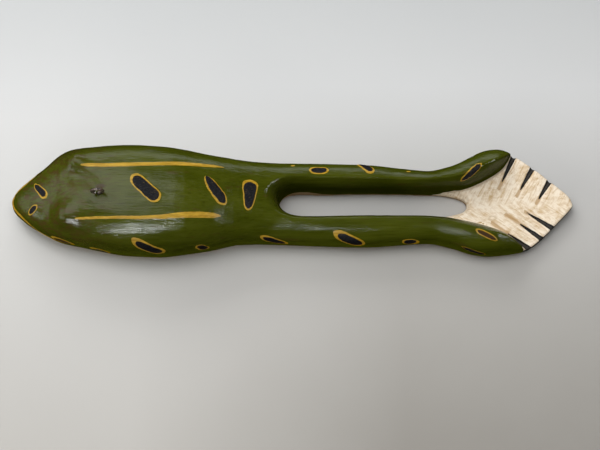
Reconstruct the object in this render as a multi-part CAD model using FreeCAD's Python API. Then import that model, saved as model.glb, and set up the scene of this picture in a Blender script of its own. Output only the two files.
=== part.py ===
import FreeCAD, Part
import bisect
import math
import os

from FreeCAD import Vector

# A guiro carved as a leaping frog. It lies on its belly with the nose at the -X end, the long hind legs
# stretched back to +X and the two webbed feet joined sole to sole. Millimetres, +Z up.
# Everything is laid out behind the nose tip (x) and to the far (+y) or near (-y) side of the centre line,
# and moved at the end so that the origin is in the middle of the footprint, on the surface it lies on.

# ---- Driving dimensions ----
LENGTH = 360.0            # nose tip to toe tip
FOOT_TOP = 8.5            # height of the flat web between the legs' ends
LEG_TOP = 27.0            # crest of each hind leg

# Plan outline: half the width on the far side and on the near side, at a distance behind the nose.
FAR_SIDE = [(0, 0), (1, 4.4), (5, 9.6), (12, 15.6), (20, 22), (31, 31.2), (39, 34), (50, 34.8), (75, 35.4),
            (95, 34.4), (127, 29.3), (160, 26.2), (200, 25.6), (225, 25.2), (250, 22.4), (266, 21),
            (281, 24.4), (294, 31), (303, 35.4), (312, 36.8), (321, 34.6), (335, 25.8), (346, 16.6),
            (354, 9.8), (358.5, 4.8), (360, 0)]
NEAR_SIDE = [(0, 0), (1, 4.4), (5, 9.2), (12, 14.8), (20, 19.4), (31, 24.6), (44, 27.6), (57, 30.4),
             (75, 33.4), (95, 34.2), (112, 32.2), (127, 29.8), (145, 25.8), (160, 25.4), (200, 26.6),
             (225, 27.2), (266, 24.8), (281, 27.6), (294, 31.6), (303, 32.8), (318, 31.4), (329, 29),
             (339, 21.8), (352, 9), (358, 2.6), (360, 0)]
# Side profile: height of the back above the table, and the height at which each section is widest.
BACK = [(0, 15), (4, 20.5), (12, 25), (30, 32), (44, 38.5), (60, 43), (80, 45), (108, 44.6), (125, 41.5),
        (148, 34), (170, 29.5), (190, 28), (225, LEG_TOP), (270, LEG_TOP - 0.5), (305, LEG_TOP), (322, 22),
        (340, 16), (360, 12)]
WIDEST = [(0, 12), (30, 15), (90, 17), (140, 14), (180, 11), (270, 10), (330, 5), (360, 4.5)]
CHIN = [(0, 9.5), (3, 6), (14, 1), (32, -4), (360, -4)]
# How square each section is: 2 is an ellipse, and more is flatter on top with rounder shoulders.
SQUARENESS = [(0, 2.2), (30, 2.3), (60, 2.7), (110, 2.9), (160, 2.9), (200, 3.2), (360, 3.2)]
SIDE_TUCK = 2.6           # the sides draw in by this much from the widest level to the base
ARCH_ANGLES = (17, 34, 50, 65, 78)
NOSE_STATIONS = (0.02, 0.3, 0.9, 1.8, 3.2, 5.0, 7.4, 10.4, 14.0, 18.5)
STATION_RUNS = ((23, 71, 12), (71, 173, 17), (173, 263, 9), (263, 353, 28))
TOE_STATIONS = (353.0, 355.5, 357.5, 358.7, 359.5, 359.98)
EYE_BUMPS = [(42.0, 22.0), (36.0, -15.5)]   # x and y of the two eyes, which stand out of the head
EYE_BUMP_RISE = 5.0
EYE_BUMP_SPREAD = 8.0
NECK_X = 26.0             # the hollow between the snout and the eyes
NECK_DIP = 1.3

# The gap between the legs, seen from above: round its front end, and round its back end in the web.
GAP_FRONT = [(250, 9.4), (236, 9.6), (215, 9.5), (197, 9.2), (184, 9.4), (176.4, 8.4), (172.4, 5.8),
             (170.7, 1.6), (172.2, -3.2), (175.5, -6.2), (179.5, -8), (185, -8.8), (198, -9), (212, -8.7),
             (230, -8.4), (250, -8.5)]
GAP_BACK = [(266, -7.9), (277, -6.4), (286, -4.4), (291.2, -1.4), (291.8, 2.2), (286.6, 6.2), (277, 8.4),
            (264, 9.2)]
EDGE_BOTTOM = 4.4         # the web's edge round the gap's back end is eased from here up to its top
EDGE_EASE = [(0, -0.3), (262, -0.3), (282, 3.6), (360, 3.6)]   # and by this much outwards
# Where the legs stop on the web between the ankles and the toes.
WEB_FAR = [(324, 44), (321.3, 35.8), (319, 30.6), (315, 25.2), (308.3, 20), (298.6, 14.6), (288.5, 11),
           (275, 9.8)]
WEB_NEAR = [(275, -9.2), (285, -10.6), (295, -12.7), (307, -16.2), (315, -19.6), (321, -24.2),
            (325, -27.9), (329, -32.8), (333, -40)]
LEG_ROUND = 11.0          # how far each leg's inner side leans back from its foot to its crest
HEEL_ROUND = [(0, 1), (255, 1), (300, 1.65), (360, 1.65)]   # and how many times further at the heels
ROUND_TOP = 31.0          # height at which the rounding would end level
ROUND_SHARES = (0.0, 0.2, 0.4, 0.6, 0.75, 0.87, 0.95, 0.99)
LEAN_LIMIT = 13.0
GAP_LIP = 0.4             # the gap is this much wider than the foot of the legs' rounded sides

# Gouged lines between the toes, each from its shallow inner end to the edge of the foot.
TOE_GROOVES = [((312, 10.5), (324, 35)), ((323.3, 5.5), (336, 27)), ((335.5, 0.5), (346.4, 18)),
               ((328, -3.4), (350, -17.6)), ((315.4, -5), (342, -24.4)), ((306.4, -10.6), (333, -30.4))]
GROOVE_WIDTH = 3.8
GROOVE_DEPTH = 3.4
GROOVE_OVERRUN = 1.3      # each cut runs on past the edge by this share of its length

# The rasp board, let into the belly over the sound chamber.
BOARD_X = 102.0
BOARD_HALF_LENGTH = 60.0
BOARD_HALF_WIDTH = 25.5
BOARD_THICK = 6.0
GLUE_GAP = 0.15
RASP_X = (58.0, 134.0)    # the ridged strip, lengthways
RASP_HALF_WIDTH = 17.0
RIDGE_PITCH = 4.0
RIDGE_CREST = 1.3
RASP_DEPTH = 2.0
SOUND_HOLE_X = 146.0
SOUND_HOLE_RADIUS = 6.5
CHAMBER_HALF_LENGTH = 52.0
CHAMBER_HALF_WIDTH = 19.0
CHAMBER_HEIGHT = 26.0     # above the board

# Brads that pin the board's rim, and the screw eye in the back.
BRAD_ANGLES = (0, 62, 118, 180, 242, 298)
BRAD_INSET = 3.4
BRAD_RADIUS = 0.7
BRAD_HEAD_RADIUS = 1.5
BRAD_HEAD_THICK = 0.6
BRAD_LENGTH = 13.0
BRAD_POINT = 1.6
BRAD_SLACK = 0.02
EYE_X = 59.4
EYE_Y = -1.6
EYE_WIRE_RADIUS = 0.9
EYE_RING_RADIUS = 3.6     # to the middle of the wire
EYE_SHANK_LENGTH = 11.0
EYE_SHANK_RADIUS = 0.75
EYE_THREAD_RADIUS = 1.1
EYE_THREAD_PITCH = 1.2
EYE_POINT = 1.8
EYE_NECK = 1.2            # straight wire between the wood and the ring's centre line
EYE_SINK = 0.6            # the neck of bare wire starts this far below the surface of the back
EYE_SLACK = 0.05
PILOT_SPARE = 0.5         # the pilot hole is drilled this much deeper than the shank

# Room for tools that pass right through.
CLEAR = 60.0


def smooth(points):
    """A smooth curve through (x, value) points, as a function of x, that never overshoots them."""
    xs = [float(p[0]) for p in points]
    vs = [float(p[1]) for p in points]
    steps = [(vs[i + 1] - vs[i]) / (xs[i + 1] - xs[i]) for i in range(len(xs) - 1)]
    slopes = [steps[0]]
    for before, after in zip(steps, steps[1:]):
        slopes.append(0.0 if before * after <= 0 else 2 * before * after / (before + after))
    slopes.append(steps[-1])

    def value(x):
        i = min(max(bisect.bisect_right(xs, x) - 1, 0), len(xs) - 2)
        span = xs[i + 1] - xs[i]
        t = (x - xs[i]) / span
        return ((1 + 2 * t) * (1 - t) ** 2 * vs[i] + t * (1 - t) ** 2 * span * slopes[i]
                + t * t * (3 - 2 * t) * vs[i + 1] + t * t * (t - 1) * span * slopes[i + 1])

    return value


far_side, near_side, back, widest, chin, squareness, heel_round, edge_ease = map(
    smooth, (FAR_SIDE, NEAR_SIDE, BACK, WIDEST, CHIN, SQUARENESS, HEEL_ROUND, EDGE_EASE))


def relief(x, y):
    """Rise of the two eyes and dip of the neck, added to the height of the head."""
    rise = sum(EYE_BUMP_RISE * math.exp(-((x - ex) ** 2 + (y - ey) ** 2) / EYE_BUMP_SPREAD ** 2)
               for ex, ey in EYE_BUMPS)
    return rise - NECK_DIP * math.exp(-((x - NECK_X) / 7.0) ** 2 - (y / 16.0) ** 2)


def section(x):
    """The closed outline of the frog's body across x: a flat base below the belly and one arch over it."""
    middle = (far_side(x) - near_side(x)) / 2
    half = (far_side(x) + near_side(x)) / 2
    level = widest(x)
    base = chin(x)
    rise = back(x) - level
    tuck = min(SIDE_TUCK, 0.3 * half)
    power = 2 / squareness(x)
    far_half = [(half - tuck, base), (half - 0.3 * tuck, base + 0.5 * (level - base)), (half, level)]
    for degrees in ARCH_ANGLES:
        angle = math.radians(degrees)
        far_half.append((half * math.cos(angle) ** power, level + rise * math.sin(angle) ** power))
    near_half = [(-y, z) for y, z in reversed(far_half)]
    placed = []
    for y, z in far_half + [(0.0, level + rise)] + near_half:
        lift = relief(x, middle + y) if z > level else 0.0
        placed.append(Vector(x, middle + y, z + lift))
    arch = Part.BSplineCurve()
    arch.interpolate(Points=placed, Parameters=[i / (len(placed) - 1) for i in range(len(placed))])
    return Part.Wire([arch.toShape(), Part.LineSegment(placed[-1], placed[0]).toShape()])


def stations():
    """Where the sections stand: closer together at the rounded nose, the heels and the toes."""
    found = list(NOSE_STATIONS)
    for start, stop, count in STATION_RUNS:
        found += [start + (stop - start) * i / count for i in range(count)]
    return found + list(TOE_STATIONS)


def outer_form():
    """The whole carving before its legs are parted, down to the flat belly."""
    form = Part.makeLoft([section(x) for x in stations()], True, True)
    return form.cut(Part.makeBox(LENGTH + 2 * CLEAR, 2 * CLEAR, CLEAR, Vector(-CLEAR, -CLEAR, -CLEAR)))


def moved_out(path, outwards, closed=False):
    """A smooth curve past each point of a path, moved to its right by outwards(x), and the moved points."""
    points = [Vector(x, y, 0) for x, y in path]
    measures = [0.0]
    for start, end in zip(points, points[1:] + points[:1]):
        measures.append(measures[-1] + start.distanceToPoint(end))
    if not closed:
        measures.pop()
    plan = Part.BSplineCurve()
    plan.interpolate(Points=points, Parameters=measures, PeriodicFlag=closed)
    moved = []
    for point, measure in zip(points, measures):
        along = plan.tangent(measure)[0]
        moved.append(point + Vector(along.y, -along.x, 0) * outwards(point.x))
    edge = Part.BSplineCurve()
    edge.interpolate(Points=moved, Parameters=measures, PeriodicFlag=closed)
    return edge, moved


def web_outline(lean):
    """Outline, from above, of the space between the legs and over the web, moved outwards by lean."""
    edge, moved = moved_out(WEB_FAR + GAP_FRONT + WEB_NEAR,
                            lambda x: min(lean * heel_round(x), LEAN_LIMIT) - GAP_LIP)
    beyond = LENGTH + CLEAR
    corners = [moved[-1], Vector(beyond, -2 * CLEAR, 0), Vector(beyond, 2 * CLEAR, 0), moved[0]]
    return Part.Wire([edge.toShape()] + Part.makePolygon(corners).Edges)


def space_over_web():
    """The hollow between the legs and over the web. Its sides lean out as they rise, to round the legs."""
    levels = []
    for share in ROUND_SHARES:
        outline = web_outline(LEG_ROUND * (1 - math.sqrt(1 - share ** 2)))
        outline.translate(Vector(0, 0, FOOT_TOP + share * (ROUND_TOP - FOOT_TOP)))
        levels.append(outline)
    top = web_outline(LEAN_LIMIT)
    top.translate(Vector(0, 0, ROUND_TOP + CLEAR / 4))
    return Part.makeLoft(levels + [top], True, True)


def gap_outline(outwards, z):
    """Outline of the gap between the legs at height z, moved outwards by outwards(x)."""
    wire = Part.Wire(moved_out(GAP_FRONT + GAP_BACK, outwards, True)[0].toShape())
    wire.translate(Vector(0, 0, z))
    return wire


def finger_gap():
    """The long gap between the legs, right through."""
    return Part.Face(gap_outline(lambda x: 0, -1)).extrude(Vector(0, 0, ROUND_TOP))


def eased_edge():
    """What is pared off the top edge of the web round the gap's back end."""
    inside = gap_outline(lambda x: edge_ease(0), EDGE_BOTTOM)
    outside = gap_outline(edge_ease, FOOT_TOP + 1)
    return Part.makeLoft([inside, outside], True, True)


def toe_groove(inner, outer):
    """A gouge cut that starts at nothing and deepens to the edge of the foot, as a three-sided wedge."""
    run = Vector(outer[0] - inner[0], outer[1] - inner[1], 0)
    tip = Vector(inner[0], inner[1], FOOT_TOP)
    side = Vector(-run.y, run.x, 0).normalize()
    end = tip + run * GROOVE_OVERRUN
    left = end + side * GROOVE_WIDTH / 2 * GROOVE_OVERRUN
    right = end - side * GROOVE_WIDTH / 2 * GROOVE_OVERRUN
    root = end - Vector(0, 0, GROOVE_DEPTH * GROOVE_OVERRUN)
    above = Vector(0, 0, 1)
    over_left = left + above
    over_right = right + above
    triangles = [(tip, root, left), (tip, right, root), (left, root, right), (tip, left, over_left),
                 (tip, over_left, over_right), (tip, over_right, right), (left, right, over_right),
                 (left, over_right, over_left)]
    faces = [Part.Face(Part.makePolygon(list(corners) + [corners[0]])) for corners in triangles]
    return Part.makeSolid(Part.makeShell(faces))


def oval(half_length, half_width, bottom, height):
    """An upright oval disc centred on the rasp board."""
    curve = Part.Ellipse(Vector(BOARD_X, 0, bottom), half_length, half_width)
    return Part.Face(Part.Wire(curve.toShape())).extrude(Vector(0, 0, height))


def sound_chamber():
    """The hollow gouged out over the board: the upper half of an egg."""
    shape = FreeCAD.Matrix()
    shape.scale(CHAMBER_HALF_LENGTH, CHAMBER_HALF_WIDTH, CHAMBER_HEIGHT)
    shape.move(Vector(BOARD_X, 0, BOARD_THICK))
    egg = Part.makeSphere(1.0).transformGeometry(shape)
    return egg.common(oval(CHAMBER_HALF_LENGTH + 1, CHAMBER_HALF_WIDTH + 1, BOARD_THICK - 1, CLEAR))


def brad_places():
    """Points round the board's rim where the brads go."""
    places = []
    for degrees in BRAD_ANGLES:
        angle = math.radians(degrees)
        x = BOARD_X + (BOARD_HALF_LENGTH - BRAD_INSET) * math.cos(angle)
        places.append(Vector(x, (BOARD_HALF_WIDTH - BRAD_INSET) * math.sin(angle), 0))
    return places


def brad(place, slack=0.0):
    """One brad driven upwards, its flat head level with the board. With slack it is the brad's hole."""
    profile = [(0, 0), (BRAD_HEAD_RADIUS, 0), (BRAD_HEAD_RADIUS, BRAD_HEAD_THICK),
               (BRAD_RADIUS, BRAD_HEAD_THICK), (BRAD_RADIUS, BRAD_LENGTH - BRAD_POINT), (0, BRAD_LENGTH),
               (0, 0)]
    points = [Vector(r + slack if r else 0, 0, z + slack if z else 0) for r, z in profile]
    turned = Part.Face(Part.makePolygon(points)).revolve(Vector(0, 0, 0), Vector(0, 0, 1), 360)
    turned.translate(place)
    return turned


def eye_seat():
    """Where the screw eye's neck starts, in the middle of the back."""
    return Vector(EYE_X, EYE_Y, back(EYE_X) - EYE_SINK)


def carved_frog():
    """The one block of wood that the frog is carved from, with everything that is cut into it."""
    wood = outer_form().cut(space_over_web()).cut(finger_gap()).cut(eased_edge())
    wood = wood.cut([toe_groove(inner, outer) for inner, outer in TOE_GROOVES])
    recess = oval(BOARD_HALF_LENGTH + GLUE_GAP, BOARD_HALF_WIDTH + GLUE_GAP, -1, BOARD_THICK + 1)
    wood = wood.cut([recess, sound_chamber()])
    wood = wood.cut([brad(place, BRAD_SLACK) for place in brad_places()])
    bottom = eye_seat() - Vector(0, 0, EYE_SHANK_LENGTH + PILOT_SPARE)
    pilot = Part.makeCylinder(EYE_THREAD_RADIUS + EYE_SLACK, CLEAR, bottom)
    return wood.cut(pilot)


def belly_rasp_board():
    """The hardwood board glued into the belly, with its ridges and its sound hole."""
    board = oval(BOARD_HALF_LENGTH, BOARD_HALF_WIDTH, 0, BOARD_THICK)
    half_groove = (RIDGE_PITCH - RIDGE_CREST) / 2
    grooves = []
    count = int((RASP_X[1] - RASP_X[0]) / RIDGE_PITCH)
    for i in range(count + 1):
        x = RASP_X[0] + i * RIDGE_PITCH
        corners = [Vector(x - half_groove, 0, 0), Vector(x, 0, RASP_DEPTH), Vector(x + half_groove, 0, 0)]
        corners = [corner - Vector(0, RASP_HALF_WIDTH, 0) for corner in corners]
        below = [corners[2] - Vector(0, 0, 1), corners[0] - Vector(0, 0, 1)]
        face = Part.Face(Part.makePolygon(corners + below + [corners[0]]))
        grooves.append(face.extrude(Vector(0, 2 * RASP_HALF_WIDTH, 0)))
    below_board = Vector(SOUND_HOLE_X, 0, -BOARD_THICK)
    sound_hole = Part.makeCylinder(SOUND_HOLE_RADIUS, 3 * BOARD_THICK, below_board)
    return board.cut(grooves + [sound_hole] + [brad(place, BRAD_SLACK) for place in brad_places()])


def board_brads():
    """The brads that pin the board while its glue sets, and stay in."""
    return Part.makeCompound([brad(place) for place in brad_places()])


def hanging_eye():
    """A screw eye of bent wire, its ring standing along the frog's back."""
    seat = eye_seat()
    centre = seat + Vector(0, 0, EYE_NECK + EYE_RING_RADIUS)
    ring = Part.makeTorus(EYE_RING_RADIUS, EYE_WIRE_RADIUS, centre, Vector(0, 1, 0))
    neck = Part.makeCylinder(EYE_WIRE_RADIUS, EYE_NECK, seat)
    profile = [Vector(0, 0, 0), Vector(EYE_WIRE_RADIUS, 0, 0)]
    depth = 0.0
    while depth + EYE_THREAD_PITCH < EYE_SHANK_LENGTH - EYE_POINT:
        profile.append(Vector(EYE_SHANK_RADIUS, 0, -depth - 0.3 * EYE_THREAD_PITCH))
        profile.append(Vector(EYE_THREAD_RADIUS, 0, -depth - 0.8 * EYE_THREAD_PITCH))
        depth += EYE_THREAD_PITCH
    profile.append(Vector(EYE_SHANK_RADIUS, 0, -depth - 0.3 * EYE_THREAD_PITCH))
    profile.append(Vector(0, 0, -EYE_SHANK_LENGTH))
    outline = Part.makePolygon(profile + [profile[0]])
    shank = Part.Face(outline).revolve(Vector(0, 0, 0), Vector(0, 0, 1), 360)
    shank.translate(seat)
    return ring.fuse([neck, shank])


def main():
    os.makedirs("parts", exist_ok=True)
    pieces = {"carved_frog": carved_frog(), "belly_rasp_board": belly_rasp_board(),
              "board_brads": board_brads(), "hanging_eye": hanging_eye()}
    points = pieces["carved_frog"].tessellate(0.05)[0]
    footprint = FreeCAD.BoundBox(points[0], points[0])
    for point in points:
        footprint.add(point)
    to_origin = Vector(-footprint.Center.x, -footprint.Center.y, 0)
    for name, shape in pieces.items():
        shape.translate(to_origin)
        shape.exportStep("parts/" + name + ".step")
        print(name, "valid" if shape.isValid() else "INVALID", len(shape.Solids), round(shape.Volume))
    print("moved by", to_origin, "carving", footprint)


main()
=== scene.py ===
# The looks of a wooden guiro carved as a leaping frog: gloss green paint with gold lines and black spots,
# bare cream feet and belly, a hardwood rasp board in the belly and a wire eye in the back.
# Places on the frog are in millimetres: x behind the nose tip, y to the frog's far (+) or near (-) side of
# the middle, and z above the surface it lies on.

import math

import bpy
import numpy as np
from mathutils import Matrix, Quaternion, Vector


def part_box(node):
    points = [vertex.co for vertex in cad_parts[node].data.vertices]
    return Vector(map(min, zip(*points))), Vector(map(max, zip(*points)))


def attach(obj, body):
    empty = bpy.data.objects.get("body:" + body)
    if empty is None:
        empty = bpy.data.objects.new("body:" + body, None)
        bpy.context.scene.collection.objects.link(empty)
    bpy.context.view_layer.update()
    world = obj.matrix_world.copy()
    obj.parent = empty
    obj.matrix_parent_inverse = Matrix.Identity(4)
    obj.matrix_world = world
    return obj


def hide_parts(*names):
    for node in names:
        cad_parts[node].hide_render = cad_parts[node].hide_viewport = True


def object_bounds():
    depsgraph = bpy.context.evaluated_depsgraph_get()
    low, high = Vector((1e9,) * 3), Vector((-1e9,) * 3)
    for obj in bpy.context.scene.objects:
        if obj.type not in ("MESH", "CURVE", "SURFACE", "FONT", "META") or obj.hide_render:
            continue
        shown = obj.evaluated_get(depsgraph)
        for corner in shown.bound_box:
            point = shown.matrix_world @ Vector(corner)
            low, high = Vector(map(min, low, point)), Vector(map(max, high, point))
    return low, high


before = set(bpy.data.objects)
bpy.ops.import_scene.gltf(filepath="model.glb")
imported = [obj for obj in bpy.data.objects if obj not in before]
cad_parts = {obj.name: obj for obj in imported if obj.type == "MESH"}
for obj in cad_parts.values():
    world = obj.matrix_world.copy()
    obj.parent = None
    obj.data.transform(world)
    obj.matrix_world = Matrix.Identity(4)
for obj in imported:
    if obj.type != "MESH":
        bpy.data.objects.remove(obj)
cad_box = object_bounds()
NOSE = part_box("carved_frog")[0].x
MM = 1000.0
FAR_AWAY = 12.0   # a distance that means nowhere near

# ---- Where the paint goes ----
# Each spot is a leaf from one point to another: start, end, half width, bluntness (2 is a pointed leaf),
# skew (above 0 is fatter at the start), and its gold rim: how wide at the start, the end and the sides, and
# how far the dark middle sits off centre.
BLACK_SPOTS = [
    # Along the back, from behind the wire eye to the hips.
    ((79.8, 8.1, 44.7), (97.6, -8.6, 44.6), 4.4, 6.0, -0.04, (1.9, 1.4, 0.8, 0.0)),
    ((125.1, 8.4, 41.1), (138.0, -9.0, 36.9), 3.8, 3.6, -0.12, (0.3, 1.2, 0.9, 0.35)),
    ((153.1, 8.8, 32.4), (151.6, -11.6, 32.6), 4.2, 7.0, 0.40, (1.7, 1.2, 0.8, 0.0)),
    # Near flank and near hip.
    ((80.1, -30.0, 36.2), (98.6, -35.2, 19.0), 4.9, 4.6, -0.30, (3.2, 2.0, 1.2, 0.0)),
    ((120.0, -32.0, 25.0), (124.8, -31.5, 13.5), 3.4, 4.0, -0.2, (1.2, 1.2, 0.7, 0.3)),
    ((51.0, -30.0, 15.5), (63.5, -32.5, 7.5), 3.6, 2.6, 0.0, (1.8, 1.4, 1.0, 0.0)),
    ((159.0, -25.2, 22.6), (176.4, -26.9, 9.5), 3.8, 3.4, -0.1, (2.0, 2.0, 0.9, 0.0)),
    # Far leg and far heel.
    ((189.8, 17.3, 25.7), (202.4, 17.5, 25.2), 2.9, 5.0, 0.0, (1.2, 1.2, 0.85, 0.0)),
    ((221.0, 23.4, 18.0), (230.8, 15.7, 25.2), 3.0, 4.4, -0.1, (1.0, 1.6, 0.8, 0.35)),
    ((286.1, 11.5, 20.6), (299.9, 22.1, 25.1), 2.3, 3.0, 0.0, (0.9, 1.1, 0.6, 0.0)),
    # Near leg and near heel.
    ((204.9, -22.6, 24.3), (225.0, -28.4, 13.5), 4.3, 3.8, -0.25, (3.2, 2.0, 1.0, 0.0)),
    ((249.0, -26.4, 17.2), (259.6, -26.0, 9.5), 4.6, 2.2, -0.1, (1.6, 2.6, 0.8, 0.0)),
    ((286.0, -29.8, 16.0), (302.3, -33.6, 10.0), 2.4, 2.8, 0.0, (0.5, 0.5, 0.3, 0.0)),
    # Nostrils.
    ((15.9, 8.4, 25.2), (24.8, -1.8, 28.8), 2.4, 4.0, -0.42, (0.8, 1.2, 0.7, 0.0)),
    ((12.9, -11.4, 22.4), (18.7, -6.1, 27.0), 1.9, 3.6, 0.0, (1.1, 0.9, 0.6, 0.0)),
    # Far flank, and the outer side of the far leg and heel.
    ((63.0, 31.5, 22.0), (80.0, 34.5, 12.0), 3.8, 3.0, 0.0, (2.0, 1.6, 1.2, 0.0)),
    ((95.0, 31.5, 27.0), (113.0, 31.0, 14.0), 4.2, 3.2, 0.1, (2.4, 1.6, 1.2, 0.0)),
    ((137.0, 26.2, 21.0), (144.0, 26.0, 11.0), 2.8, 3.0, 0.0, (1.4, 1.4, 0.9, 0.0)),
    ((166.0, 23.6, 18.0), (182.0, 24.4, 9.0), 2.6, 2.8, 0.0, (2.0, 1.6, 0.9, 0.0)),
    ((206.0, 23.8, 15.0), (212.0, 24.0, 8.0), 2.4, 3.0, 0.0, (1.2, 1.2, 0.8, 0.0)),
    ((296.0, 31.0, 15.0), (308.0, 34.0, 8.5), 2.4, 2.8, 0.0, (1.4, 1.2, 0.8, 0.0)),
]
# The painted eyes, on the outer side of each bulge, and one heel spot are brown inside their rims.
BROWN_SPOTS = [
    ((27.0, -23.4, 18.0), (41.0, -28.4, 12.0), 4.6, 2.4, 0.0, (1.8, 1.8, 1.1, 0.0)),
    ((27.5, 27.8, 18.5), (43.0, 32.8, 13.0), 4.6, 2.4, 0.0, (1.8, 1.8, 1.1, 0.0)),
    ((293.9, -21.4, 25.4), (308.5, -28.0, 22.1), 1.9, 3.0, 0.0, (1.4, 1.1, 0.6, 0.0)),
]
# Dabs of gold with nothing in them: start, end and half width.
DABS = [
    ((251.7, 17.4, 22.6), (254.9, 17.5, 22.1), 0.8),
    ((178.0, 20.6, 24.0), (181.0, 20.8, 23.4), 0.7),
]
DAB_BLUNTNESS = 2.5
# The two gold stripes down the back: x, y of the middle of the line, and half its width.
FAR_STRIPE = [
    (47.5, 16.0, 0.5), (52, 15.9, 1.1), (62, 15.3, 1.25), (78, 15.1, 1.3), (95, 15.7, 1.2),
    (107, 16.1, 1.3), (122, 16.0, 1.15), (131, 15.9, 0.8), (136.5, 15.6, 0.2),
]
NEAR_STRIPE = [
    (44.5, -17.6, 0.35), (48, -17.8, 0.7), (64, -18.4, 0.75), (86, -19.0, 0.95), (100, -18.4, 1.3),
    (112, -17.2, 1.8), (124, -16.4, 1.85), (131, -16.2, 1.5), (135, -16.1, 0.3),
]
# The mouth: x behind the nose, and the height of the gold line round the snout on each side.
MOUTH_FAR = [(0.0, 15.8), (4.0, 18.4), (9.0, 20.4), (14.0, 21.0), (18.0, 18.0), (24.0, 13.0), (34.0, 9.0)]
MOUTH_NEAR = [(0.0, 15.8), (3.0, 17.0), (7.0, 17.8), (11.0, 17.2), (15.0, 15.2), (20.0, 12.4), (34.0, 9.0)]
MOUTH_END = 34.0
MOUTH_TAPER = 6.0
MOUTH_HALF_WIDTH = 1.1
MOUTH_FAR_SHARE = 0.6    # the line is thinner on the far side
JAW_TOP = 24.0
# The line where the green legs stop on the bare web: x, y on the far side and on the near side.
WEB_FAR = [
    (268, 7.6), (275, 8.1), (288.5, 9.3), (298.4, 12.9), (308, 18.3), (314.7, 23.7), (318.6, 29.1),
    (321, 34.3), (324, 44),
]
WEB_NEAR = [
    (264, -9.5), (270, -10.0), (275, -10.2), (285, -11.6), (295, -13.7), (307, -17.2), (315, -20.6),
    (321, -25.2), (325, -28.9), (329, -33.8), (333, -41),
]
WEB_HEIGHT = 8.5
# Where the bare web starts on each side of the gap, and how far behind that it starts for each mm of height.
WEB_FRONT_FAR = 265.0
WEB_FRONT_NEAR = 263.5
WEB_FRONT_SLOPE = 2.1
# The gouged lines between the toes: inner end, outer end, and the share of the line that is left unpainted.
TOE_LINES = [
    ((312, 9.2), (324, 33.7), 0.22),
    ((323.3, 4.2), (336, 25.7), 0.22),
    ((335.5, -0.8), (346.4, 16.7), 0.2),
    ((328, -4.7), (350, -18.9), 0.06),
    ((315.4, -6.3), (342, -25.7), 0.34),
    ((306.4, -11.9), (333, -31.7), 0.38),
]
TOE_LINE_HALF_WIDTH = 1.85
TOE_TAIL_HALF_WIDTH = 1.1
TOES_START = 300.0
# Where the bare wood of the belly shows at the front of the gap, round the edge: x and reach along x.
GAP_FRONT = 176.0
GAP_LIP = (186.0, 12.0)
GAP_HALF_WIDTH = 10.5
# Where the head's brown mottling ends, and over what length it fades in.
HEAD_END = 78.0
HEAD_FADE = 50.0

# ---- Marks in the wood ----
KNOT = (307.6, -9.6)
EYE_CHIP = (59.4, 0.3)
EYE_STAIN = (60.2, 1.5)
DENT = (70.5, -3.5)
BROW = (44.5, 20.5)
BROW_HOLLOW = ((38.5, 14.5), (60.0, 1.0))
# Heights above which a place is on top of the head, or on top of the back.
HEAD_TOP = 28.0
BACK_TOP = 30.0
# How far things stand up (+) or sink in (-), in millimetres.
BROW_RISE = 0.8
HOLLOW_RISE = -1.6
DENT_RISE = -0.55
CHIP_RISE = -0.35
KNOT_RISE = -0.16
GOLD_THICKNESS = 0.16
STRIPE_THICKNESS = 0.14
BLACK_THICKNESS = 0.14

# ---- Colours ----
GREENS = ((0.041, 0.050, 0.0016), (0.058, 0.068, 0.004))
LIGHT_STREAK = (0.074, 0.078, 0.010)
DARK_STREAK = (0.025, 0.026, 0.0012)
HEAD_BROWN = (0.058, 0.036, 0.008)
BROWN_SPECK = (0.058, 0.038, 0.008)
CREAMS = ((0.92, 0.80, 0.64), (0.66, 0.48, 0.28))
CREAM_STAIN = (0.46, 0.28, 0.12)
CREAM_DIRT = (0.50, 0.36, 0.22)
CREAM_EDGE = (0.82, 0.72, 0.55)
TOE_TAIL = (0.45, 0.27, 0.11)
KNOT_BROWN = (0.45, 0.30, 0.14)
# Painted shade for the hollows of the feet.
HOLLOW_SHADE = (0.42, 0.26, 0.12)
BELLY_WOODS = ((0.52, 0.37, 0.215), (0.33, 0.20, 0.10))
WORN_WOOD = (0.30, 0.17, 0.06)
GOLDS = ((0.33, 0.185, 0.006), (0.48, 0.285, 0.020))
BLACKS = ((0.0035, 0.0035, 0.005), (0.022, 0.022, 0.024))
GOLD_FLECK = (0.16, 0.10, 0.02)
SPOT_BROWN = (0.044, 0.020, 0.003)
GROOVE_BLACKS = ((0.045, 0.040, 0.034), (0.006, 0.005, 0.005))
RUST_STAIN = (0.050, 0.034, 0.014)
BOARD_WOODS = ((0.46, 0.30, 0.155), (0.24, 0.135, 0.062))
# Painted shade for the bottoms of the rasp board's grooves.
BOARD_GROOVE_SHADE = (0.11, 0.060, 0.028)
BOARD_SCRAPED = (0.60, 0.44, 0.27)
RUST = (0.085, 0.042, 0.020)
EYE_STEEL = (0.20, 0.18, 0.165)
BRAD_STEEL = (0.30, 0.29, 0.28)
PAPER = (0.63, 0.63, 0.625)
# Painted shade on the paper: towards the viewer, towards the viewer's right, and far behind.
PAPER_NEAR_SHADE = (0.48, 0.46, 0.425)
PAPER_NEAR_RIGHT_SHADE = (0.27, 0.25, 0.22)
PAPER_REAR_SHADE = (0.48, 0.49, 0.49)
PAPER_FLECK = (0.74, 0.73, 0.71)
DAYLIGHT = (0.98, 0.99, 1.0)
SKY = (0.93, 0.97, 1.0)
WARM = (1.0, 0.97, 0.92)


# ---- Shapes ----

def linked(name, mesh):
    piece = bpy.data.objects.new(name, mesh)
    bpy.context.collection.objects.link(piece)
    return piece


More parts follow.
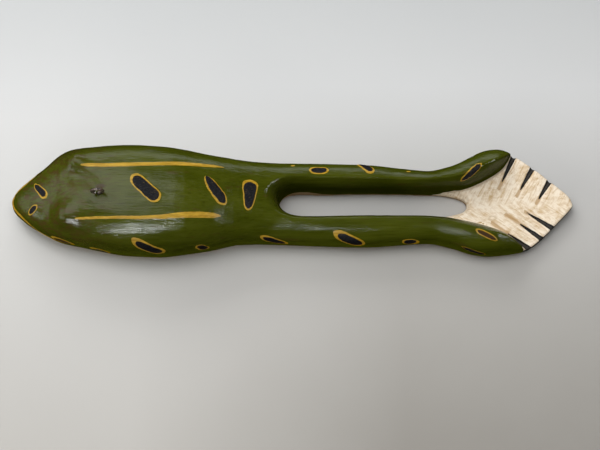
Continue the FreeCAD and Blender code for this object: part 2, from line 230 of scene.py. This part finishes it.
def remeshed(node, name, voxel, smoothing):
    """A new piece with the shape of a CAD node, in even small faces that can be carved and painted."""
    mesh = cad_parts[node].data.copy()
    mesh.materials.clear()
    piece = linked(name, mesh)
    weld = piece.modifiers.new("weld", "WELD")
    weld.merge_threshold = 1e-6
    remesh = piece.modifiers.new("remesh", "REMESH")
    remesh.mode = "VOXEL"
    remesh.voxel_size = voxel / MM
    relax = piece.modifiers.new("relax", "SMOOTH")
    relax.factor = 0.5
    relax.iterations = smoothing
    ready = piece.evaluated_get(bpy.context.evaluated_depsgraph_get())
    piece.data = bpy.data.meshes.new_from_object(ready)
    piece.modifiers.clear()
    piece.data.shade_smooth()
    return piece


def points(mesh):
    """The mesh's points in millimetres, as rows of x behind the nose, y and z."""
    flat = np.empty(len(mesh.vertices) * 3, np.float32)
    mesh.vertices.foreach_get("co", flat)
    return (flat.reshape(-1, 3).astype(float) - (NOSE, 0, 0)) * MM


def set_points(mesh, places):
    """Moves the mesh's points, and keeps them inside the CAD model's box."""
    placed = np.clip(places / MM + (NOSE, 0, 0), cad_box[0], cad_box[1])
    mesh.vertices.foreach_set("co", placed.astype(np.float32).ravel())
    mesh.update()


def normals(mesh):
    flat = np.empty(len(mesh.vertices) * 3, np.float32)
    mesh.vertex_normals.foreach_get("vector", flat)
    return flat.reshape(-1, 3).astype(float)


def neighbours(mesh):
    pairs = np.empty(len(mesh.edges) * 2, np.int32)
    mesh.edges.foreach_get("vertices", pairs)
    return pairs.reshape(-1, 2)


def spread(values, pairs, rounds):
    """Each point's value averaged with its neighbours', several times over."""
    count = np.bincount(pairs.ravel(), minlength=len(values)).astype(float)
    for _ in range(rounds):
        total = np.bincount(pairs[:, 0], values[pairs[:, 1]], len(values))
        total += np.bincount(pairs[:, 1], values[pairs[:, 0]], len(values))
        values = 0.5 * values + 0.5 * total / np.maximum(count, 1)
    return values


def ridges(mesh, pairs, rounds):
    """How sharply the surface bends at each point, in mm: above 0 on ridges and below 0 in hollows."""
    places = points(mesh)
    away = places - np.stack([spread(places[:, i], pairs, rounds) for i in range(3)], axis=1)
    return (away * normals(mesh)).sum(axis=1)


def store(mesh, name, values):
    layer = mesh.attributes.new(name, "FLOAT", "POINT")
    layer.data.foreach_set("value", values.astype(np.float32))


def noise(places, size, seed):
    """Smooth random values from -1 to 1, with lumps about size mm across (one size, or one per axis)."""
    cells = 32
    table = np.random.default_rng(seed).uniform(-1, 1, (cells, cells, cells))
    scaled = places / np.array(size, float)
    cell = np.floor(scaled).astype(int)
    part = scaled - cell
    part = part * part * (3 - 2 * part)
    value = np.zeros(len(places))
    for corner in range(8):
        step = np.array([corner & 1, corner >> 1 & 1, corner >> 2 & 1])
        weight = np.prod(np.where(step, part, 1 - part), axis=1)
        index = (cell + step) % cells
        value += weight * table[index[:, 0], index[:, 1], index[:, 2]]
    return value


def inside(distance, soft):
    """1 well inside a painted area, 0 outside it, from the signed distance to its edge."""
    return np.clip(-distance / soft, 0, 1)


def mound(places, centre, long, wide):
    """1 at a place seen from above, falling away from it with the squared distances along x and y."""
    x, y = places[:, 0] - centre[0], places[:, 1] - centre[1]
    return np.exp(-(x ** 2 / long + y ** 2 / wide))


def leaf_axes(places, facing, start, end):
    """A leaf's middle, half length, direction along it, direction across it, and the way it faces."""
    start = np.array(start, float)
    end = np.array(end, float)
    along = end - start
    half_length = np.linalg.norm(along) / 2
    along /= 2 * half_length
    out = sum(facing[np.argmin(((places - tip) ** 2).sum(axis=1))] for tip in (start, end))
    out -= along * (out @ along)
    out /= np.linalg.norm(out)
    return (start + end) / 2, half_length, along, np.cross(out, along), out


def leaf(places, facing, start, end, half_width, bluntness=2.0, skew=0.0, shift=0.0):
    """Distance outside a leaf painted on the surface, below 0 inside it."""
    middle, half_length, along, across, out = leaf_axes(places, facing, start, end)
    offset = places - middle
    s = offset @ along / half_length
    t = np.abs(offset @ across - shift)
    share = np.clip(np.abs(s), 0, 1)
    width = half_width * (1 - share ** bluntness) ** 0.75 * (1 - skew * np.clip(s, -1, 1))
    past_tip = np.maximum(np.abs(s) - 1, 0) * half_length
    distance = np.hypot(np.maximum(t - width, 0), past_tip)
    distance = np.where(distance > 0, distance, np.maximum(t - width, (share - 1) * half_length))
    turned_away = facing @ out < 0.05
    elsewhere = turned_away | ((offset ** 2).sum(axis=1) > (half_length + FAR_AWAY) ** 2)
    return np.where(elsewhere, FAR_AWAY, distance)


def shortened(start, end, from_start, from_end):
    start = np.array(start, float)
    end = np.array(end, float)
    step = (end - start) / np.linalg.norm(end - start)
    return start + step * from_start, end - step * from_end


def stripe(places, line):
    """Offset across a lengthways line, and the line's half width, below 0 past its ends."""
    x, y, half = np.array(line, float).T
    offset = places[:, 1] - np.interp(places[:, 0], x, y)
    beyond = np.maximum(x[0] - places[:, 0], places[:, 0] - x[-1])
    return offset, np.where(beyond > 0, -beyond, np.interp(places[:, 0], x, half))


def line_between(places, start, end):
    """Share of the way along a line seen from above, and distance from it."""
    start = np.array(start, float)
    along = np.array(end, float) - start
    length = np.linalg.norm(along)
    along /= length
    offset = places[:, :2] - start
    return offset @ along / length, np.abs(offset @ (-along[1], along[0]))


def web_distance(places):
    """Distance outside the bare web, seen from above, below 0 on it."""
    x, y, z = places.T
    front = np.where(y > 0, WEB_FRONT_FAR + WEB_FRONT_SLOPE * (z - 1), WEB_FRONT_NEAR)
    gaps = [(front - x) / np.hypot(1, WEB_FRONT_SLOPE)]
    for outline, side in ((WEB_FAR, 1), (WEB_NEAR, -1)):
        line = np.array(outline, float)
        edge = np.interp(x, line[:, 0], line[:, 1])
        slope = np.interp(x, line[:, 0], np.gradient(line[:, 1], line[:, 0]))
        gap = side * (y - edge) / np.hypot(1, slope)
        gaps.append(np.where(x > line[-1, 0], -FAR_AWAY, gap))
    return np.max(gaps, axis=0)


# ---- Paint, as distances stored on the surface ----

def spot_distances(places, facing):
    """Distances to the edges of the gold rims and dabs, of the black middles and of the brown middles."""
    gold = np.full(len(places), FAR_AWAY)
    black = gold.copy()
    brown = gold.copy()
    for spots, middles in ((BLACK_SPOTS, black), (BROWN_SPOTS, brown)):
        for start, end, half_width, bluntness, skew, (at_start, at_end, at_sides, shift) in spots:
            rim = leaf(places, facing, start, end, half_width, bluntness, skew)
            np.minimum(gold, rim, out=gold)
            tips = shortened(start, end, at_start, at_end)
            middle = leaf(places, facing, *tips, half_width - at_sides, bluntness, skew, shift)
            np.minimum(middles, middle, out=middles)
    for start, end, half_width in DABS:
        np.minimum(gold, leaf(places, facing, start, end, half_width, DAB_BLUNTNESS), out=gold)
    return gold, black, brown


def toe_distances(places, web):
    """Distances to the black of the toe lines and of the web's rim, and to the brown tails of the lines."""
    x, _, z = places.T
    groove = np.full(len(places), FAR_AWAY)
    tail = groove.copy()
    for inner, outer, bare_share in TOE_LINES:
        share, off = line_between(places, inner, outer)
        painted = (share - bare_share) / (1 - bare_share)
        width = TOE_LINE_HALF_WIDTH * np.clip(painted, 0, 1.1) ** 0.5
        line = np.where(painted > -0.2, np.maximum(off - width, -painted * 20), FAR_AWAY)
        groove = np.minimum(groove, line)
        on_tail = (share > 0) & (share < bare_share + 0.3)
        tail = np.minimum(tail, np.where(on_tail, off - TOE_TAIL_HALF_WIDTH, 2))
    rim = np.maximum(z - (WEB_HEIGHT - 0.75), 1.0 - z)
    groove = np.minimum(groove, np.where(x > TOES_START, rim, FAR_AWAY))
    return np.maximum(groove, web - 0.2), tail


def line_offsets(places, facing):
    """Offset across the nearest gold line, a stripe or the mouth, and that line's half width."""
    x, y, z = places.T
    far_line, far_width = stripe(places, FAR_STRIPE)
    near_line, near_width = stripe(places, NEAR_STRIPE)
    line = np.where(y > 0, far_line, -near_line)
    width = np.where(y > 0, far_width, near_width)
    width = np.where((z > BACK_TOP) & (facing[:, 2] > 0.3), width, -3.0)
    lips = [np.interp(x, *np.array(lip).T) for lip in (MOUTH_FAR, MOUTH_NEAR)]
    on_jaw = (x < MOUTH_END + 3) & (z < JAW_TOP)
    line = np.where(on_jaw, z - np.where(y > 0, *lips), line)
    taper = np.clip((MOUTH_END - x) / MOUTH_TAPER, -1, 1)
    jaw_width = MOUTH_HALF_WIDTH * taper * np.where(y > 2, MOUTH_FAR_SHARE, 1)
    return line, np.where(on_jaw, jaw_width, width)


def belly_distance(places):
    """Distance above the bare wood of the belly, which also shows round the front of the gap."""
    x, y, z = places.T
    lip_x, lip_reach = GAP_LIP
    lip = (5.6 * np.exp(-((x - lip_x) / lip_reach) ** 2) + 1.4 * (x > GAP_FRONT))
    return z - 1.0 - lip * (np.abs(y) < GAP_HALF_WIDTH) + 0.5 * noise(places, 3, 23)


def paint_masks(mesh, places, facing, pairs):
    """Signed distances in mm to all that is painted on the frog, and shares from 0 to 1 of other marks."""
    x, y, z = places.T
    wobble = 0.28 * noise(places, 2.6, 21) + 0.20 * noise(places, 1.3, 22)
    gold, black, brown = spot_distances(places, facing)
    web = np.maximum(web_distance(places), z - WEB_HEIGHT - 0.9)
    groove, tail = toe_distances(places, web)
    line, line_width = line_offsets(places, facing)
    bends = ridges(mesh, pairs, 6)
    worn = np.clip((spread(bends, pairs, 2) - 0.16) / 0.2, 0, 1) * (0.6 + 0.4 * noise(places, 4, 24))
    knot_ring = np.hypot((x - KNOT[0]) / 1.5, y - KNOT[1])
    return {
        "gold": gold + 0.6 * wobble,
        "black": black + wobble,
        "brown": brown + 0.6 * wobble,
        "groove": groove + 0.4 * wobble,
        "web": web,
        "belly": belly_distance(places),
        "tail": tail + wobble,
        "line": line + 0.35 * wobble,
        "line_width": line_width,
        "worn": np.clip(worn, 0, 1),
        "head": np.clip((HEAD_END - x) / HEAD_FADE, 0, 1) * np.clip((z - 14) / 10, 0, 1),
        "patch": mound(places, EYE_STAIN, 14, 3.4) * (z > BACK_TOP),
        "bends": bends,
        "far_foot": np.clip((y + 3) / 6, 0, 1),
        "knot": np.exp(-((knot_ring - 1.4) / 0.45) ** 2) * (z > 7),
    }


# ---- Carving ----

def tool_marks(places, web):
    """The unevenness that a knife leaves: long and shallow on the body, finer on the bare web."""
    z = places[:, 2]
    body = 0.22 * noise(places, (22, 7, 9), 11) + 0.10 * noise(places, (9, 3.5, 4), 12)
    body += 0.05 * noise(places, (6, 1.6, 1.8), 13)
    body *= np.clip(z / 3, 0, 1)
    foot = 0.10 * noise(places, (7, 2.6, 6), 14) + 0.06 * noise(places, 2.2, 15)
    return np.where((inside(web, 0.5) > 0) & (z > 6), foot, body)


def paint_relief(places, marks):
    """How thick the gold and the lumpy black paint lie on the wood."""
    painted = marks["web"] > 0
    rise = GOLD_THICKNESS * inside(marks["gold"], 0.5) * painted
    lumps = 0.5 + 0.5 * noise(places, (1.5, 1.1, 1.1), 16)
    rise += BLACK_THICKNESS * lumps * inside(marks["black"], 0.6) * painted
    on_line = np.clip((marks["line_width"] - np.abs(marks["line"])) / 0.4 + 0.4, 0, 1)
    return rise + STRIPE_THICKNESS * on_line * (marks["line_width"] > 0)


def face_relief(places):
    """The brow over the far eye, the hollow behind it, and a dent and a chip by the wire eye."""
    on_head = places[:, 2] > HEAD_TOP
    on_back = places[:, 2] > BACK_TOP
    share, off = line_between(places, *BROW_HOLLOW)
    hollow = np.exp(-(off / 4.5) ** 2 - (2 * share - 1) ** 4)
    rise = (BROW_RISE * mound(places, BROW, 30, 30) + HOLLOW_RISE * hollow) * on_head
    chip = CHIP_RISE * mound(places, EYE_CHIP, 18, 5)
    return rise + (DENT_RISE * mound(places, DENT, 30, 12) + chip) * on_back


def carve_frog(piece):
    """Hand-carved unevenness, worn edges and thick paint in the frog's own surface."""
    mesh = piece.data
    places = points(mesh)
    facing = normals(mesh)
    marks = paint_masks(mesh, places, facing, neighbours(mesh))
    rise = tool_marks(places, marks["web"]) + paint_relief(places, marks) + face_relief(places)
    rise += KNOT_RISE * marks["knot"]
    set_points(mesh, places + facing * rise[:, None])
    for name, values in marks.items():
        store(mesh, name, values)
    return piece


def carve_board(piece):
    """Ridges worn round by scraping, and small chips out of them."""
    mesh = piece.data
    places = points(mesh)
    facing = normals(mesh)
    bends = ridges(mesh, neighbours(mesh), 3)
    scraped = np.exp(-(places[:, 1] / 9) ** 2) * (places[:, 2] < 2.5)
    chips = np.clip(noise(places, (1.6, 2.6, 3), 32) - 0.55, 0, 1)
    rise = 0.05 * noise(places, (9, 2.2, 2.2), 31)
    rise -= 0.25 * scraped * np.clip(bends / 0.25, 0, 1)
    rise -= 0.25 * chips * np.clip(bends / 0.2, 0, 1)
    set_points(mesh, places + facing * rise[:, None])
    # How far into the grooves between the ridges a place lies, which carries painted shade in the board's
    # colour.
    store(mesh, "depth", np.clip(places[:, 2] / 2.0, 0, 1) * (facing[:, 2] < 0.5))
    store(mesh, "scraped", scraped * np.clip(bends / 0.15, 0, 1))
    return piece


def ring_route(centre, radius, neck_drop, shank):
    """Points along the bent wire: round the ring from its free end, then down the neck and the shank."""
    bends = 24
    first, last = -90 + 14, -90 + 14 + 360 - 40
    twist = -0.25 / MM
    route = []
    for bend in range(bends + 1):
        angle = math.radians(first + (last - first) * bend / bends)
        place = (radius * math.cos(angle), twist * bend / bends, radius * math.sin(angle))
        route.append(centre + Vector(place))
    route.reverse()
    neck = centre - Vector((0, 0, radius + neck_drop))
    return route + [centre + Vector((radius * 0.10, 0, -radius * 1.02)), neck, neck - Vector((0, 0, shank))]


def wire_eye():
    """The screw eye as bent wire: the ring's end stops just short of its neck."""
    low, high = (np.array(corner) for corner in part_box("hanging_eye"))
    wire = 0.9 / MM
    outer = (high[0] - low[0]) / 2
    centre = Vector(((low[0] + high[0]) / 2, (low[1] + high[1]) / 2, high[2] - outer))
    route = ring_route(centre, outer - wire, 1.2 / MM, 3 / MM)
    path = bpy.data.curves.new("hanging_eye_wire", "CURVE")
    path.dimensions = "3D"
    path.bevel_depth = wire * 0.98
    path.bevel_resolution = 6
    path.use_fill_caps = True
    spline = path.splines.new("NURBS")
    spline.points.add(len(route) - 1)
    for point, place in zip(spline.points, route):
        point.co = (*place, 1)
    spline.order_u = 3
    spline.use_endpoint_u = True
    spline.resolution_u = 6
    curve = linked("hanging_eye_curve", path)
    mesh = bpy.data.meshes.new_from_object(curve.evaluated_get(bpy.context.evaluated_depsgraph_get()))
    bpy.data.objects.remove(curve)
    piece = linked("hanging_eye_wire", mesh)
    mesh.shade_smooth()
    return piece


# ---- Materials ----

class Paint:
    """A node material, built by small calls that each return the socket they made."""

    def __init__(self, name):
        self.material = bpy.data.materials.new(name)
        self.material.use_nodes = True
        self.tree = self.material.node_tree
        self.shader = self.tree.nodes["Principled BSDF"]
        self.object_space = self.tree.nodes.new("ShaderNodeTexCoord").outputs["Object"]

    def node(self, kind, inputs, **settings):
        made = self.tree.nodes.new(kind)
        for name, value in settings.items():
            setattr(made, name, value)
        for name, value in inputs.items():
            self.join(made.inputs[name], value)
        return made

    def join(self, socket, value):
        if isinstance(value, bpy.types.NodeSocket):
            self.tree.links.new(value, socket)
        else:
            socket.default_value = value

    def attribute(self, name):
        return self.node("ShaderNodeAttribute", {}, attribute_name=name).outputs["Fac"]

    def math(self, operation, a, b=0.0, clamp=False):
        return self.node("ShaderNodeMath", {0: a, 1: b}, operation=operation, use_clamp=clamp).outputs[0]

    def times(self, a, b, clamp=False):
        return self.math("MULTIPLY", a, b, clamp)

    def plus(self, a, b, clamp=False):
        return self.math("ADD", a, b, clamp)

    def either(self, a, b):
        return self.math("MAXIMUM", a, b)

    def texture(self, grain, detail=3.0, roughness=0.55, distortion=0.0, turn=0.0):
        """Noise from 0 to 1, with lumps grain mm long on each axis, turned by an angle in plan."""
        scale = tuple(MM / length for length in grain)
        turned = self.node("ShaderNodeMapping", {"Vector": self.object_space})
        turned.inputs["Rotation"].default_value = (0, 0, math.radians(-turn))
        placed = self.node("ShaderNodeMapping", {"Vector": turned.outputs[0], "Scale": scale})
        inputs = {"Vector": placed.outputs[0], "Scale": 1.0, "Detail": detail, "Roughness": roughness,
                  "Distortion": distortion}
        return self.node("ShaderNodeTexNoise", inputs).outputs["Fac"]

    def placed(self):
        """Object space x and y, in metres."""
        split = self.node("ShaderNodeSeparateXYZ", {"Vector": self.object_space})
        return split.outputs[0], split.outputs[1]

    def step(self, value, low, high):
        """0 at low and below, 1 at high and above, and smooth between."""
        inputs = {"Value": value, "From Min": low, "From Max": high}
        return self.node("ShaderNodeMapRange", inputs, interpolation_type="SMOOTHSTEP").outputs["Result"]

    def range(self, value, low, high, to_low, to_high):
        inputs = {"Value": value, "From Min": low, "From Max": high, "To Min": to_low, "To Max": to_high}
        return self.node("ShaderNodeMapRange", inputs).outputs["Result"]

    def inside(self, name, soft=0.1):
        """1 inside a painted area whose signed distance is stored on the surface, 0 outside it."""
        return self.step(self.attribute(name), soft, -soft)

    def mix(self, share, a, b):
        """A colour between two others."""
        made = self.tree.nodes.new("ShaderNodeMix")
        made.data_type = "RGBA"
        colours = [socket for socket in made.inputs if socket.type == "RGBA"]
        self.join(made.inputs["Factor"], share)
        self.join(colours[0], a if isinstance(a, bpy.types.NodeSocket) else (*a, 1))
        self.join(colours[1], b if isinstance(b, bpy.types.NodeSocket) else (*b, 1))
        return [socket for socket in made.outputs if socket.type == "RGBA"][0]

    def over(self, base, colour, share, strength):
        """A thin coat of one colour over another, where share says."""
        return self.mix(self.times(share, strength), base, colour)

    def blend(self, share, a, b):
        """A number between two others."""
        made = self.tree.nodes.new("ShaderNodeMix")
        numbers = [socket for socket in made.inputs if socket.type == "VALUE"]
        self.join(numbers[0], share)
        self.join(numbers[1], a)
        self.join(numbers[2], b)
        return made.outputs[0]

    def finish(self, colour, roughness, height, depth):
        """Joins the colour, the roughness and a height, whose depth is in mm, to the shader."""
        self.join(self.shader.inputs["Base Color"], colour)
        self.join(self.shader.inputs["Roughness"], roughness)
        bump = self.node("ShaderNodeBump", {"Height": height, "Distance": depth / MM, "Strength": 1.0})
        self.join(self.shader.inputs["Normal"], bump.outputs["Normal"])
        return self.material


def bare_wood(paint, light, dark, grain=(60, 2.2, 2.2)):
    """Colour of bare wood with its grain along x."""
    broad = paint.texture(grain, 4, 0.6, 0.6)
    fine = paint.texture((14, 0.5, 0.5), 3, 0.6)
    share = paint.times(paint.step(broad, 0.42, 0.72), 0.8)
    share = paint.plus(share, paint.range(fine, 0.35, 0.75, 0.0, 0.3), clamp=True)
    return paint.mix(share, light, dark)


def green_paint(paint, streaks):
    """Green paint streaked along the wood, with brown showing through it, mostly on the head."""
    broad = paint.texture((40, 12, 12), 3, 0.5)
    colour = paint.mix(paint.step(broad, 0.35, 0.7), *GREENS)
    colour = paint.over(colour, LIGHT_STREAK, paint.step(streaks, 0.5, 0.75), 0.6)
    colour = paint.over(colour, DARK_STREAK, paint.step(streaks, 0.48, 0.3), 0.6)
    mottle = paint.step(paint.texture((9, 2.2, 2.2), 4, 0.6, 0.3), 0.44, 0.60)
    colour = paint.over(colour, HEAD_BROWN, paint.times(mottle, paint.attribute("head")), 0.9)
    specks = paint.step(paint.texture((16, 4, 4), 4, 0.6), 0.60, 0.68)
    return paint.over(colour, BROWN_SPECK, specks, 0.45)


def foot_cream(paint):
    """Thin cream paint on the feet, stained along the toes and flecked with dirt, with painted shade
    darkening its hollows.
    """
    grain = (14, 2.4, 5)
    far_toes = paint.texture(grain, 5, 0.7, 1.2, 62)
    near_toes = paint.texture(grain, 5, 0.7, 1.2, -36)
    toeward = paint.blend(paint.attribute("far_foot"), near_toes, far_toes)
    blotches = paint.texture((9, 5, 5), 5, 0.65, 1.0)
    stain = paint.plus(paint.times(toeward, 0.6), paint.times(blotches, 0.4))
    colour = paint.mix(paint.step(stain, 0.42, 0.62), *CREAMS)
    colour = paint.over(colour, CREAM_STAIN, paint.step(stain, 0.56, 0.68), 0.6)
    dirt = paint.texture((1.4, 1.0, 1.0), 4, 0.7)
    colour = paint.over(colour, CREAM_DIRT, paint.step(dirt, 0.56, 0.72), 0.45)
    colour = paint.over(colour, CREAM_EDGE, paint.step(paint.attribute("web"), -0.9, -0.5), 0.7)
    colour = paint.over(colour, TOE_TAIL, paint.inside("tail", 0.5), 0.75)
    colour = paint.over(colour, KNOT_BROWN, paint.attribute("knot"), 0.55)
    # Painted shade: darker brown where the surface bends into a hollow.
    return paint.over(colour, HOLLOW_SHADE, paint.step(paint.attribute("bends"), -0.05, -0.25), 0.6)


def gold_share(paint):
    """Where there is gold paint, which is thin in places: rims, dabs, stripes and the mouth."""
    off = paint.math("ABSOLUTE", paint.attribute("line"))
    off = paint.math("SUBTRACT", paint.attribute("line_width"), off)
    on_gold = paint.either(paint.inside("gold"), paint.step(off, -0.1, 0.1))
    thin = paint.range(paint.texture((5, 1.0, 1.0), 3, 0.6), 0.3, 0.5, 0.75, 1.0)
    return paint.times(on_gold, thin)


def black_over(paint, colour, on_black, on_groove):
    """The black of the spots, with gold flecks in it, and of the grooves between the toes."""
    fine = paint.texture((1.6, 0.35, 0.35), 2, 0.5)
    colour = paint.mix(on_black, colour, paint.mix(paint.step(fine, 0.45, 0.75), *BLACKS))
    flecks = paint.times(on_black, paint.step(paint.texture((2.4, 0.4, 0.4), 3, 0.6), 0.63, 0.70))
    colour = paint.over(colour, GOLD_FLECK, flecks, 0.6)
    groove_black = paint.mix(paint.step(paint.attribute("groove"), -1.2, -0.4), *GROOVE_BLACKS)
    return paint.mix(on_groove, colour, groove_black)


def rust_patch(paint):
    """Where rust from the wire eye has stained the paint behind it."""
    grit = paint.texture((0.5, 0.5, 0.5), 2, 0.6)
    patch = paint.times(paint.attribute("patch"), paint.range(grit, 0.3, 0.6, 0.7, 1.0), clamp=True)
    return paint.step(patch, 0.25, 0.6)


def worn_share(paint):
    """Where the paint has worn off sharp edges, in small patches."""
    patches = paint.step(paint.texture((3, 1.5, 1.5), 4, 0.6), 0.4, 0.55)
    return paint.times(paint.attribute("worn"), patches)


def paint_height(paint, streaks, on_black):
    """Brush marks in the gloss paint, and a crust on the black."""
    peel = paint.texture((5.0, 1.3, 1.3), 3, 0.5)
    brushed = paint.plus(paint.times(streaks, 0.4), paint.times(peel, 0.4))
    brushed = paint.plus(brushed, paint.times(paint.texture((2.2, 0.8, 0.8), 2, 0.5), 0.14))
    crust = paint.times(paint.texture((1.2, 0.8, 0.8), 3, 0.6), paint.times(on_black, 1.2))
    return paint.plus(brushed, crust)


def frog_paint():
    paint = Paint("frog_paint")
    streaks = paint.texture((26, 1.1, 1.1), 5, 0.65)
    on_web = paint.inside("web", 0.15)
    on_bare = paint.inside("belly", 0.12)
    on_gold = gold_share(paint)
    on_black = paint.inside("black")
    on_brown = paint.inside("brown")
    on_groove = paint.inside("groove")
    on_dark = paint.either(paint.either(on_black, on_brown), on_groove)
    colour = paint.mix(on_web, green_paint(paint, streaks), foot_cream(paint))
    colour = paint.mix(on_bare, colour, bare_wood(paint, *BELLY_WOODS))
    colour = paint.over(colour, WORN_WOOD, worn_share(paint), 0.75)
    colour = paint.mix(on_gold, colour, paint.mix(paint.step(streaks, 0.35, 0.65), *GOLDS))
    colour = paint.mix(on_brown, colour, SPOT_BROWN)
    colour = black_over(paint, colour, on_black, on_groove)
    colour = paint.mix(rust_patch(paint), colour, RUST_STAIN)
    roughness = paint.range(streaks, 0.3, 0.7, 0.10, 0.20)
    for share, value in ((on_web, 0.5), (on_bare, 0.7), (on_gold, 0.34), (on_dark, 0.5)):
        roughness = paint.blend(share, roughness, value)
    # The varnish is thickest on top and has hardly any shine low down on the sides.
    shine = paint.range(paint.attribute("belly"), 13, 24, 0.0, 0.28)
    for share, value in ((on_web, 0.2), (on_dark, 0.14)):
        shine = paint.blend(share, shine, value)
    paint.join(paint.shader.inputs["Specular IOR Level"], shine)
    return paint.finish(colour, roughness, paint_height(paint, streaks, on_black), depth=0.34)


def board_wood():
    paint = Paint("board_wood")
    colour = bare_wood(paint, *BOARD_WOODS, (45, 1.5, 1.5))
    # Painted shade: darker deeper in the grooves.
    colour = paint.over(colour, BOARD_GROOVE_SHADE, paint.attribute("depth"), 0.6)
    colour = paint.over(colour, BOARD_SCRAPED, paint.attribute("scraped"), 0.6)
    pores = paint.texture((5, 0.25, 0.25), 2, 0.5)
    return paint.finish(colour, paint.range(pores, 0.3, 0.7, 0.42, 0.62), pores, depth=0.10)


def wire_steel(name, bright):
    """Steel with patches of rust, which are rougher and not metallic."""
    paint = Paint(name)
    stain = paint.texture((1.6, 1.6, 1.6), 4, 0.65)
    rust = paint.step(stain, 0.44, 0.58)
    paint.join(paint.shader.inputs["Metallic"], paint.blend(rust, 1.0, 0.2))
    return paint.finish(paint.mix(rust, bright, RUST), paint.blend(rust, 0.24, 0.7), stain, depth=0.06)


def floor_paper():
    """Pale backdrop paper with painted shade: lighter and cooler to the upper left, darker and warmer
    towards the viewer, greyer towards the viewer's right, and darker far behind.
    """
    paint = Paint("floor_paper")
    across, away = paint.placed()
    near = paint.range(away, 0.085, -0.17, 0, 1)
    right = paint.range(across, -0.10, 0.07, 0, 1)
    rear = paint.range(away, 0.06, 0.16, 0, 1)
    # Painted shade: the paper's colour falls off towards the viewer, the viewer's right and far behind, in
    # place of the light's own falloff.
    colour = paint.mix(near, PAPER, PAPER_NEAR_SHADE)
    colour = paint.mix(paint.times(near, right), colour, PAPER_NEAR_RIGHT_SHADE)
    colour = paint.mix(rear, colour, PAPER_REAR_SHADE)
    colour = paint.over(colour, PAPER_FLECK, paint.texture((90, 90, 90), 4, 0.5), 0.12)
    return paint.finish(colour, 0.7, paint.texture((0.8, 0.8, 0.8), 2, 0.5), depth=0.02)


# ---- Pieces ----

def dress(piece, node, material):
    piece.data.materials.clear()
    piece.data.materials.append(material)
    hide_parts(node)
    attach(piece, "root")


frog = carve_frog(remeshed("carved_frog", "frog_carving", 0.8, 3))
dress(frog, "carved_frog", frog_paint())
board = carve_board(remeshed("belly_rasp_board", "rasp_board", 0.5, 2))
dress(board, "belly_rasp_board", board_wood())
dress(wire_eye(), "hanging_eye", wire_steel("eye_steel", EYE_STEEL))
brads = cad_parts["board_brads"]
brads.data.materials.clear()
brads.data.materials.append(wire_steel("brad_steel", BRAD_STEEL))


# ---- Floor, light and camera ----

def area_light(name, place, aim, size, watts, colour, mirrored=True, lighting=True, roll=0):
    """A soft lamp. Not mirrored: it does not show in glossy paint. Not lighting: it does nothing else."""
    data = bpy.data.lights.new(name, "AREA")
    data.shape = "RECTANGLE"
    data.size, data.size_y = size
    data.energy = watts
    data.color = colour
    lamp = bpy.data.objects.new(name, data)
    bpy.context.collection.objects.link(lamp)
    lamp.location = place
    lamp.visible_glossy = mirrored
    lamp.visible_diffuse = lighting
    facing = (Vector(aim) - Vector(place)).to_track_quat("-Z", "Y")
    lamp.rotation_euler = (facing @ Quaternion((0, 0, 1), math.radians(roll))).to_euler()


def floor():
    half = 3.0
    drop = -0.1 / MM
    corners = [(-half, -half, drop), (half, -half, drop), (half, half, drop), (-half, half, drop)]
    mesh = bpy.data.meshes.new("floor")
    mesh.from_pydata(corners, [], [(0, 1, 2, 3)])
    mesh.materials.append(floor_paper())
    paper = linked("floor", mesh)
    paper.visible_glossy = False   # matt paper barely shows in the varnish


def camera():
    """Nearly overhead, from the frog's near side, on a long lens."""
    tilt = math.radians(15.5)
    distance = 0.85
    seen_width = 0.3886
    sensor = 36
    target = Vector((0.00414, -0.01175, 0))
    data = bpy.data.cameras.new("camera")
    data.sensor_width = sensor
    data.lens = sensor * distance / seen_width
    data.clip_end = 20
    view = bpy.data.objects.new("camera", data)
    bpy.context.collection.objects.link(view)
    view.location = target + distance * Vector((0, -math.sin(tilt), math.cos(tilt)))
    view.rotation_euler = (tilt, 0, 0)
    bpy.context.scene.camera = view


def room():
    """Dim light from all round, which does not show in the varnish."""
    world = bpy.data.worlds.new("studio")
    world.use_nodes = True
    background = world.node_tree.nodes["Background"]
    background.inputs["Color"].default_value = (*WARM, 1)
    background.inputs["Strength"].default_value = 0.08
    bpy.context.scene.world = world
    world.cycles_visibility.glossy = False


def lamps():
    """Soft lamps that light the frog and paper, and panes of sky that only shine in the varnish."""
    middle = (0, 0, 0)
    head = (-0.1, 0, 0)
    area_light("key", (0.04, 0.12, 1.1), middle, (0.8, 0.5), 5.2, DAYLIGHT, mirrored=False)
    area_light("far_side", (-0.25, 0.85, 0.65), (0, 0.1, 0), (1.0, 0.4), 6.2, DAYLIGHT, mirrored=False)
    area_light("fill", (-0.70, -0.9, 0.32), (0, 0, 0.02), (1.2, 0.4), 5.2, WARM, mirrored=False)
    area_light("ceiling", (-0.66, 0.35, 1.3), head, (1.04, 1.2), 10.5, DAYLIGHT)
    area_light("window", (-0.33, -0.83, 0.74), middle, (0.90, 0.05), 10.5, SKY, lighting=False, roll=60)
    area_light("left_sky", (-1.45, 0.05, 0.65), head, (1.3, 0.65), 4.5, SKY, lighting=False)
    area_light("left_window", (-1.10, -0.5, 0.62), head, (0.40, 0.12), 1.5, SKY, lighting=False)
    area_light("far_sky", (-0.1, 1.1, 0.38), middle, (1.6, 0.4), 5.2, SKY, lighting=False)
    right = (0.85, -0.25, 0.70)
    area_light("right_window", right, middle, (0.80, 0.14), 6.0, SKY, lighting=False, roll=37)


floor()
camera()
room()
lamps()
bpy.context.scene.view_settings.view_transform = "Standard"

bpy.context.view_layer.update()
